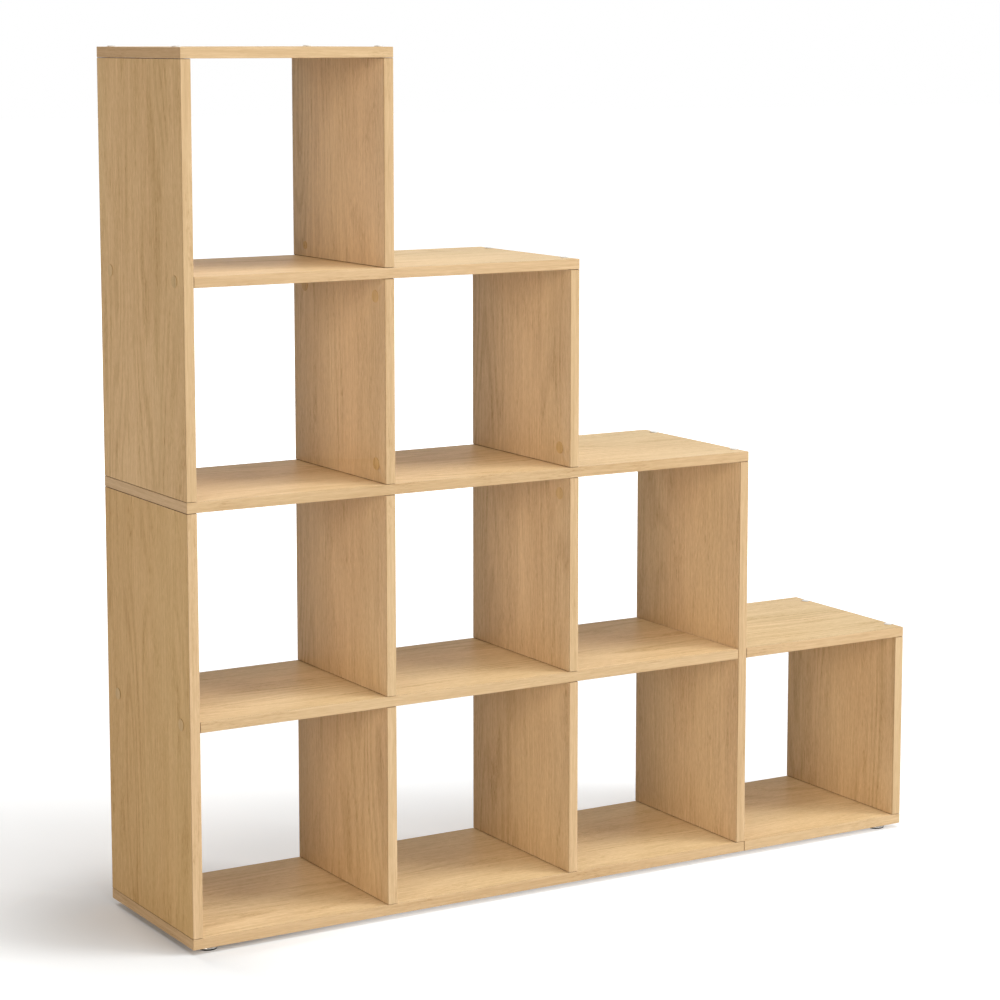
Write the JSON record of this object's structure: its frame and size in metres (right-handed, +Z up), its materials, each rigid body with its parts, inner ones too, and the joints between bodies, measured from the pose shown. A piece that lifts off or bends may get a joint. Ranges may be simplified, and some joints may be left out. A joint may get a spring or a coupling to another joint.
{
  "type": "stepped cube bookcase",
  "caption": "Open stepped cube bookcase in light-oak melamine boards, columns falling from a tall side to a low end, with white screw caps and nailed glides.",
  "frame": {"origin": "centre of the case's footprint, on the floor under the soles", "axes": "+X along the front from the tall side to the low end, +Y from the front edges to the rear, +Z up"},
  "size_m": [1.3209, 0.3, 1.326],
  "materials": {
    "oak_melamine": "satin light-oak decor with edge banding",
    "white_plastic": "smooth moulded plastic",
    "screw_steel": "zinc plated",
    "oak_foil": "printed adhesive foil",
    "cam_zinc": "die-cast zinc",
    "nickel": "nickel-plated pressed steel",
    "black_sole": "matt soft sole"
  },
  "bodies": {
    "root": {"bottom_board": "oak_melamine", "bottom_board_short": "oak_melamine", "shelf_row_1": "oak_melamine", "step_top_1": "oak_melamine", "shelf_row_2": "oak_melamine", "shelf_row_3": "oak_melamine", "top_board": "oak_melamine", "side_lower": "oak_melamine", "side_upper": "oak_melamine", "divider_1_row_1": "oak_melamine", "divider_1_row_2": "oak_melamine", "divider_1_row_3": "oak_melamine", "divider_1_row_4": "oak_melamine", "divider_2_row_1": "oak_melamine", "divider_2_row_2": "oak_melamine", "divider_2_row_3": "oak_melamine", "upright_3": "oak_melamine", "end_side": "oak_melamine", "white_cap_top_left_front": "white_plastic", "white_cap_top_left_rear": "white_plastic", "white_cap_top_right_front": "white_plastic", "white_cap_top_right_rear": "white_plastic", "white_cap_step_3_front": "white_plastic", "white_cap_step_3_rear": "white_plastic", "white_cap_step_2_front": "white_plastic", "white_cap_step_2_rear": "white_plastic", "white_cap_step_1_front": "white_plastic", "white_cap_step_1_rear": "white_plastic", "cap_screw_top_left_front": "screw_steel", "cap_screw_top_left_rear": "screw_steel", "cap_screw_top_right_front": "screw_steel", "cap_screw_top_right_rear": "screw_steel", "cap_screw_step_3_front": "screw_steel", "cap_screw_step_3_rear": "screw_steel", "cap_screw_step_2_front": "screw_steel", "cap_screw_step_2_rear": "screw_steel", "cap_screw_step_1_front": "screw_steel", "cap_screw_step_1_rear": "screw_steel", "side_screw_row_3_front": "screw_steel", "side_screw_row_3_rear": "screw_steel", "side_screw_row_1_front": "screw_steel", "side_screw_row_1_rear": "screw_steel", "cam_bolt_divider_1_top": "screw_steel", "cam_bolt_divider_1_bottom": "screw_steel", "cam_bolt_divider_2_bottom": "screw_steel", "side_cover_row_3_front": "oak_foil", "side_cover_row_3_rear": "oak_foil", "side_cover_row_1_front": "oak_foil", "side_cover_row_1_rear": "oak_foil", "cam_lock_divider_1_top": "cam_zinc", "cam_lock_divider_1_bottom": "cam_zinc", "cam_lock_divider_2_bottom": "cam_zinc", "glide_cap_front_left": "nickel", "glide_cap_front_right": "nickel", "glide_cap_rear_left": "nickel", "glide_cap_rear_right": "nickel", "glide_sole_front_left": "black_sole", "glide_sole_front_right": "black_sole", "glide_sole_rear_left": "black_sole", "glide_sole_rear_right": "black_sole"}
  },
  "joints": []
}
